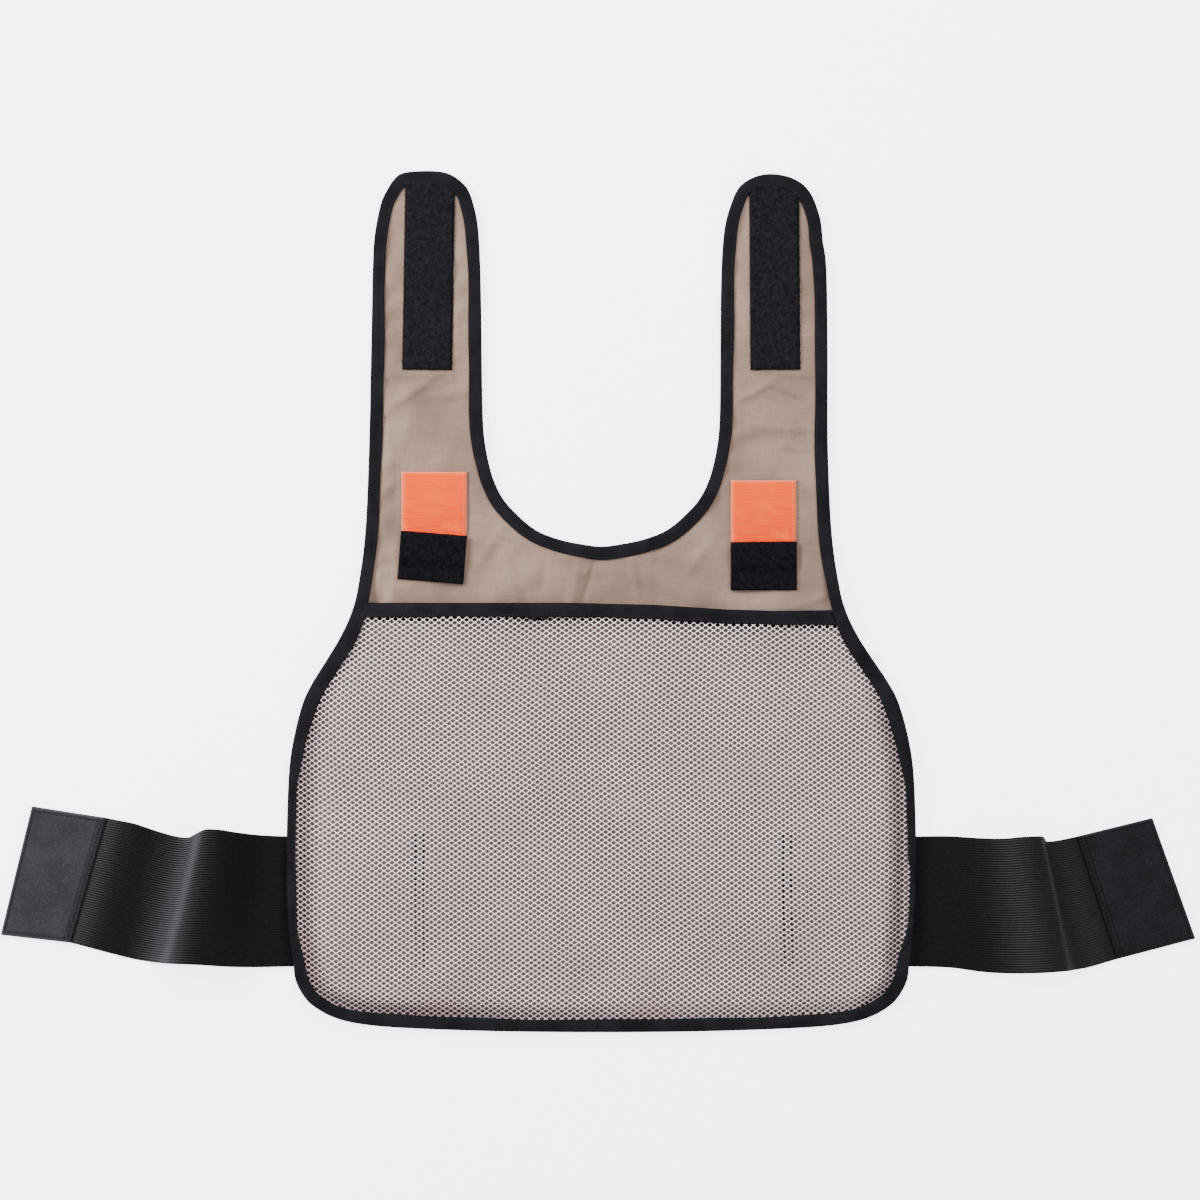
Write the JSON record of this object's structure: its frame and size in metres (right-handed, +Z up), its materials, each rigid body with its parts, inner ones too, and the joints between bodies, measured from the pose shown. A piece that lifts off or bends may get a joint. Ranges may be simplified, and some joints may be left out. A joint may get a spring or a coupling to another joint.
{
  "type": "cooling vest",
  "caption": "Flat-lying cooling vest with a cloth back panel, shoulder straps, a net pocket, hook-and-loop tapes and wide elastic side straps.",
  "frame": {"origin": "on the surface that the vest lies on, under the middle of its box", "axes": "+X across the vest to the side strap on the right, +Y to the shoulder straps, +Z up from the surface, the inner side of the vest facing up"},
  "size_m": [0.913, 0.658, 0.0241],
  "materials": {
    "cloth": "plain beige cloth, matt, softly wrinkled",
    "binding": "near-black woven folded tape with an edge stitch",
    "net": "pale pinkish knitted net",
    "loop_tape": "black loop pile",
    "hook_tape": "black hook tape",
    "webbing": "smooth woven orange webbing",
    "elastic": "black ribbed elastic with a soft sheen",
    "patch": "dark grey brushed fastening patch"
  },
  "bodies": {
    "root": {"back_panel": "cloth", "edge_binding": "binding", "mesh_pocket": "net", "pocket_band": "binding", "loop_strip_left": "loop_tape", "orange_tab_left": "webbing", "hook_tab_left": "hook_tape", "side_strap_left": "elastic", "end_patch_left": "patch", "loop_strip_right": "loop_tape", "orange_tab_right": "webbing", "hook_tab_right": "hook_tape", "side_strap_right": "elastic", "end_patch_right": "patch"}
  },
  "joints": []
}
